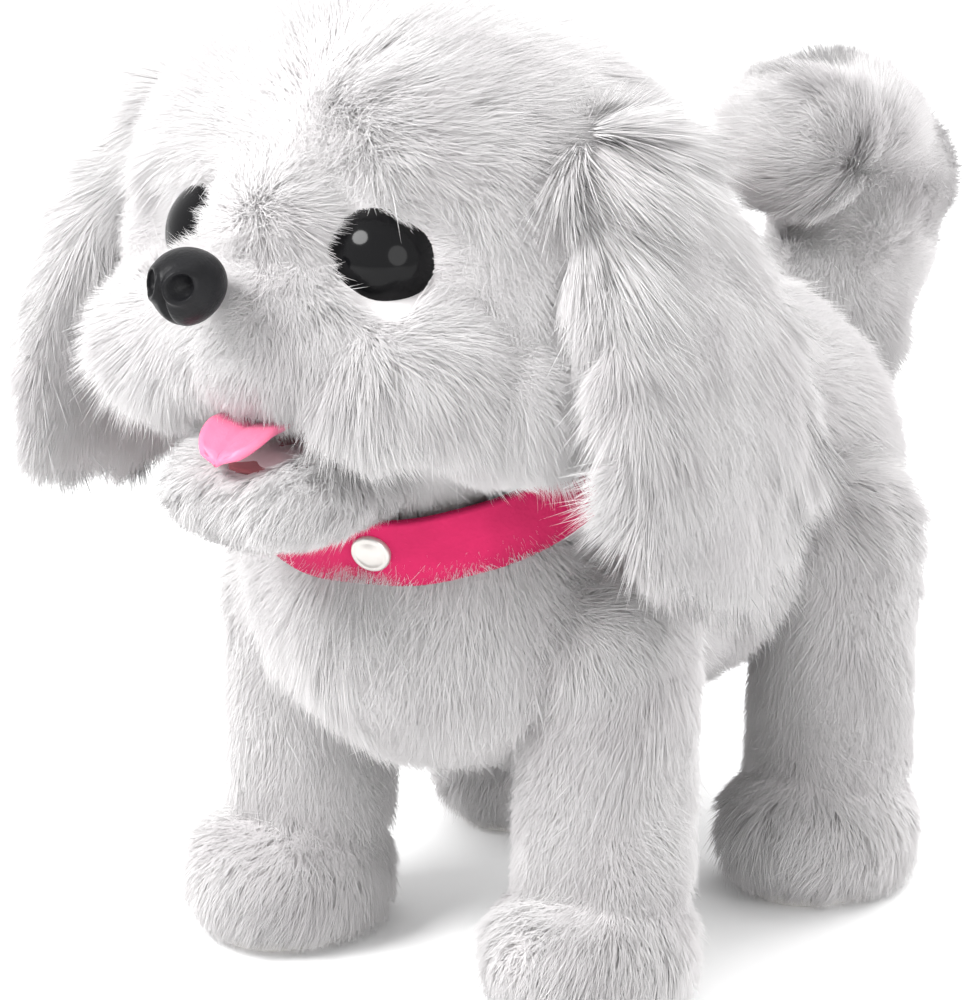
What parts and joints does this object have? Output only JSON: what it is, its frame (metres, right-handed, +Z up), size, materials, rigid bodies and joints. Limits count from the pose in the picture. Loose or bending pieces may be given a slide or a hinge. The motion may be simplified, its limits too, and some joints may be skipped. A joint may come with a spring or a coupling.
{
  "type": "plush puppy",
  "caption": "Battery-powered walking plush puppy with a nodding head, opening mouth, hanging ears, wagging tail and a collar",
  "frame": {"origin": "on the floor, at the middle of the bounding box seen from above", "axes": "the puppy faces -Y, its left side is +X, and +Z is up"},
  "size_m": [0.1528, 0.2457, 0.182],
  "materials": {
    "plush": "soft long-pile white plush",
    "collar": "crimson felt",
    "snap": "pearly metal snap cap",
    "shell": "moulded off-white plastic",
    "gear": "natural nylon",
    "steel": "plain steel",
    "eye": "glossy black",
    "nose": "satin black",
    "tongue": "pink satin",
    "rubber": "soft pale rubber",
    "cell": "plain cell jacket",
    "switch": "black",
    "board": "green laminate",
    "speaker": "black frame and cone",
    "lead": "insulated wire"
  },
  "bodies": {
    "torso": {"torso_plush": "plush", "collar_strap": "collar", "collar_snap": "snap", "chassis_left": "shell", "chassis_right": "shell", "chassis_screws": "steel", "leg_pins": "steel", "battery_cell_left": "cell", "battery_cell_right": "cell", "battery_contacts": "steel", "switch_body": "switch", "speaker": "speaker", "circuit_board": "board", "leads": "lead", "drive_motor": "steel", "gear_axles": "steel", "neck_post": "shell", "tail_bracket": "shell", "tail_pin": "steel"},
    "door": {"battery_door": "shell", "door_screw": "steel"},
    "switch": {"switch_knob": "switch"},
    "pinion": {"motor_pinion": "gear"},
    "gear_one": {"first_gear": "gear"},
    "gear_two": {"second_gear": "gear"},
    "crank": {"crank_gear": "gear", "crank_shaft": "steel", "crank_disc_left": "gear", "crank_disc_right": "gear"},
    "head": {"head_plush": "plush", "skull_left": "shell", "skull_right": "shell", "skull_screws": "steel", "eye_left": "eye", "eye_right": "eye", "nose": "nose", "face_washers": "shell", "neck_pin": "steel", "jaw_pin": "steel"},
    "jaw": {"jaw_plush": "plush", "jaw_plate": "shell", "tongue": "tongue"},
    "left_ear": {"ear_left": "plush"},
    "right_ear": {"ear_right": "plush"},
    "tail": {"tail_plush": "plush", "tail_lever": "shell"},
    "left_link": {"link_bar_left": "shell"},
    "right_link": {"link_bar_right": "shell"},
    "front_left_leg": {"front_left_lever": "shell", "front_left_plush": "plush", "front_left_foot": "rubber"},
    "front_right_leg": {"front_right_lever": "shell", "front_right_plush": "plush", "front_right_foot": "rubber"},
    "hind_left_leg": {"hind_left_lever": "shell", "hind_left_plush": "plush", "hind_left_foot": "rubber"},
    "hind_right_leg": {"hind_right_lever": "shell", "hind_right_plush": "plush", "hind_right_foot": "rubber"}
  },
  "joints": [
    {"name": "front_left_hip", "type": "hinge", "parent": "torso", "child": "front_left_leg", "pos_m": [0.025, -0.042, 0.068], "axis": [1, 0, 0], "range_deg": [-8, 8]},
    {"name": "front_right_hip", "type": "hinge", "parent": "torso", "child": "front_right_leg", "pos_m": [-0.025, -0.042, 0.068], "axis": [1, 0, 0], "range_deg": [-8, 8]},
    {"name": "hind_left_hip", "type": "hinge", "parent": "torso", "child": "hind_left_leg", "pos_m": [0.025, 0.037, 0.068], "axis": [1, 0, 0], "range_deg": [-8, 8]},
    {"name": "hind_right_hip", "type": "hinge", "parent": "torso", "child": "hind_right_leg", "pos_m": [-0.025, 0.037, 0.068], "axis": [1, 0, 0], "range_deg": [-8, 8]},
    {"name": "left_link_pivot", "type": "hinge", "parent": "front_left_leg", "child": "left_link", "pos_m": [0.0287, -0.042, 0.086], "axis": [1, 0, 0], "range_deg": [-8, 8]},
    {"name": "right_link_pivot", "type": "hinge", "parent": "front_right_leg", "child": "right_link", "pos_m": [-0.0287, -0.042, 0.086], "axis": [1, 0, 0], "range_deg": [-8, 8]},
    {"name": "crank_spin", "type": "hinge", "parent": "torso", "child": "crank", "pos_m": [0, -0.0025, 0.086], "axis": [1, 0, 0], "continuous": true},
    {"name": "gear_two_spin", "type": "hinge", "parent": "torso", "child": "gear_two", "pos_m": [0.005, 0.01367, 0.08803], "axis": [1, 0, 0], "continuous": true},
    {"name": "gear_one_spin", "type": "hinge", "parent": "torso", "child": "gear_one", "pos_m": [0.01, 0.0275, 0.0794], "axis": [1, 0, 0], "continuous": true},
    {"name": "motor_spin", "type": "hinge", "parent": "torso", "child": "pinion", "pos_m": [0.013, 0.042, 0.072], "axis": [1, 0, 0], "continuous": true},
    {"name": "head_nod", "type": "hinge", "parent": "torso", "child": "head", "pos_m": [0, -0.04, 0.113], "axis": [1, 0, 0], "range_deg": [-5, 5]},
    {"name": "jaw_bite", "type": "hinge", "parent": "head", "child": "jaw", "pos_m": [0, -0.064, 0.112], "axis": [-1, 0, 0], "range_deg": [0, 10]},
    {"name": "left_ear_lift", "type": "hinge", "parent": "head", "child": "left_ear", "pos_m": [0.048, -0.057, 0.16], "axis": [0, -1, 0], "range_deg": [0, 55]},
    {"name": "right_ear_lift", "type": "hinge", "parent": "head", "child": "right_ear", "pos_m": [-0.048, -0.057, 0.16], "axis": [0, 1, 0], "range_deg": [0, 55]},
    {"name": "tail_wag", "type": "hinge", "parent": "torso", "child": "tail", "pos_m": [0, 0.061, 0.085], "axis": [0, 0, 1], "range_deg": [-15, 15]},
    {"name": "door_out", "type": "slide", "parent": "torso", "child": "door", "axis": [0, 0, -1], "range_m": [0, 0.02]},
    {"name": "switch_slide", "type": "slide", "parent": "torso", "child": "switch", "axis": [0, 1, 0], "range_m": [0, 0.004]}
  ],
  "couplings": [
    {"joint": "front_right_hip", "follows": "front_left_hip", "ratio": -1},
    {"joint": "hind_left_hip", "follows": "front_left_hip", "ratio": 1},
    {"joint": "hind_right_hip", "follows": "front_left_hip", "ratio": -1},
    {"joint": "left_link_pivot", "follows": "front_left_hip", "ratio": -1},
    {"joint": "right_link_pivot", "follows": "front_left_hip", "ratio": 1},
    {"joint": "gear_two_spin", "follows": "crank_spin", "ratio": -3.5},
    {"joint": "gear_one_spin", "follows": "crank_spin", "ratio": 12.25},
    {"joint": "motor_spin", "follows": "crank_spin", "ratio": -53.9}
  ]
}
